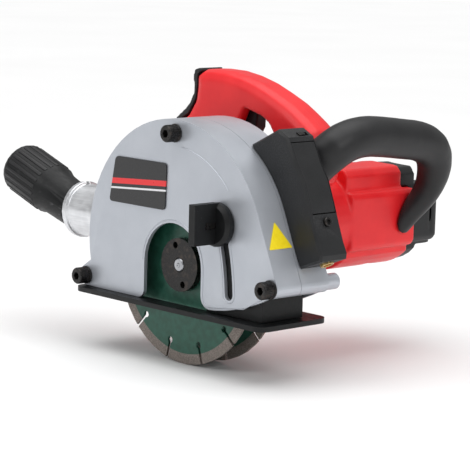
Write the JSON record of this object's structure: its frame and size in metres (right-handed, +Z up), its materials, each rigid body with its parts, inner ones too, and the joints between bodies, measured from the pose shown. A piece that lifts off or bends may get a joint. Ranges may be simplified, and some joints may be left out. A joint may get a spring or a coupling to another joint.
{
  "type": "wall chaser",
  "caption": "Hand-held wall chaser: paired diamond discs under a cast guard on a swinging base plate, with dust outlet, laser box, side handle and pistol grip.",
  "frame": {"origin": "on the base plate's underside, in the middle of its outer runner, straight below the disc spindle at the deepest setting", "axes": "+X is the cutting direction, away from the dust outlet; +Y runs along the spindle from the cover to the motor; +Z is up, away from the wall being cut"},
  "size_m": [0.3499, 0.2545, 0.2138],
  "materials": {
    "cast_guard": "satin cast aluminium, brushed rim",
    "red_shell": "fine-grained moulded plastic",
    "dark_plastic": "fine-grained moulded plastic",
    "soft_grip": "matt rubber",
    "black_base": "satin black powder coat",
    "black_steel": "black oxide",
    "bright_steel": "ground steel",
    "disc_green": "green lacquer with bare sintered rim",
    "cast_case": "fine cast aluminium",
    "spout_metal": "turned aluminium",
    "copper": "lacquered copper",
    "lens_brass": "turned brass"
  },
  "bodies": {
    "machine": {"guard_cover": "cast_guard", "guard_rear": "cast_guard", "top_bolt": "black_steel", "pivot_bolt": "black_steel", "front_bolt": "black_steel", "aux_handle_screw": "black_steel", "brush_upper": "black_steel", "brush_lower": "black_steel", "laser_box_screw": "black_steel", "badge": "dark_plastic", "brush_cap_upper": "dark_plastic", "brush_cap_lower": "dark_plastic", "end_cap": "dark_plastic", "trigger_switch": "dark_plastic", "laser_housing": "dark_plastic", "spindle_front_bearing": "bright_steel", "spindle_rear_bearing": "bright_steel", "stator": "bright_steel", "armature_front_bearing": "bright_steel", "armature_rear_bearing": "bright_steel", "handle_screw_1": "bright_steel", "handle_screw_2": "bright_steel", "battery_near": "bright_steel", "battery_far": "bright_steel", "dust_spout": "spout_metal", "aux_handle": "soft_grip", "heel_pad": "soft_grip", "cable_inlet": "soft_grip", "gear_case": "cast_case", "bearing_plate": "cast_case", "motor_housing": "red_shell", "handle_near_shell": "red_shell", "handle_far_shell": "red_shell", "laser_module": "lens_brass"},
    "base": {"base_plate": "black_base", "skirt": "black_base", "clamp_stud": "black_steel"},
    "knob": {"clamp_knob": "dark_plastic"},
    "discs": {"spindle": "bright_steel", "inner_flange": "bright_steel", "inner_disc": "disc_green", "spacer_1": "bright_steel", "spacer_2": "bright_steel", "spacer_3": "bright_steel", "spacer_4": "bright_steel", "outer_disc": "disc_green", "flange_nut": "black_steel", "drive_gear": "bright_steel"},
    "armature": {"armature_shaft": "bright_steel", "pinion": "bright_steel", "cooling_fan": "dark_plastic", "armature_core": "copper", "commutator": "copper"},
    "trigger": {"trigger": "dark_plastic"},
    "lock_button": {"lock_button": "dark_plastic"},
    "spindle_lock": {"spindle_lock_pin": "bright_steel"},
    "laser_switch": {"laser_switch": "black_steel"},
    "battery_door": {"battery_door": "dark_plastic"},
    "dust_adaptor": {"dust_adaptor": "soft_grip"}
  },
  "joints": [
    {"name": "depth_swing", "type": "hinge", "parent": "machine", "child": "base", "pos_m": [-0.098, 0.029, 0.012], "axis": [0, 1, 0], "range_deg": [0, 18]},
    {"name": "knob_turn", "type": "hinge", "parent": "base", "child": "knob", "pos_m": [0.05164, -0.001, 0.07004], "axis": [0, 1, 0], "range_deg": [-90, 90]},
    {"name": "spindle_spin", "type": "hinge", "parent": "machine", "child": "discs", "pos_m": [0, 0.029, 0.0325], "axis": [0, 1, 0], "continuous": true},
    {"name": "armature_spin", "type": "hinge", "parent": "machine", "child": "armature", "pos_m": [0.02491, 0.137, 0.06136], "axis": [0, 1, 0], "continuous": true},
    {"name": "trigger_pull", "type": "slide", "parent": "machine", "child": "trigger", "axis": [-0.9023, 0, 0.4311], "range_m": [0, 0.006], "stiffness_N_per_m": 400},
    {"name": "lock_button_press", "type": "slide", "parent": "machine", "child": "lock_button", "axis": [0, -1, 0], "range_m": [0, 0.0028], "stiffness_N_per_m": 300},
    {"name": "spindle_lock_press", "type": "slide", "parent": "machine", "child": "spindle_lock", "axis": [0.788, 0, -0.6157], "range_m": [0, 0.0015], "stiffness_N_per_m": 400},
    {"name": "laser_switch_slide", "type": "slide", "parent": "machine", "child": "laser_switch", "axis": [0, 1, 0], "range_m": [0, 0.003]},
    {"name": "battery_door_slide", "type": "slide", "parent": "machine", "child": "battery_door", "axis": [0.8873, 0, 0.4612], "range_m": [0, 0.03]},
    {"name": "dust_swivel", "type": "hinge", "parent": "machine", "child": "dust_adaptor", "pos_m": [-0.136, 0.03, 0.0567], "axis": [1, 0, 0], "range_deg": [-180, 180]}
  ],
  "couplings": [
    {"joint": "armature_spin", "follows": "spindle_spin", "ratio": -2.2105}
  ]
}
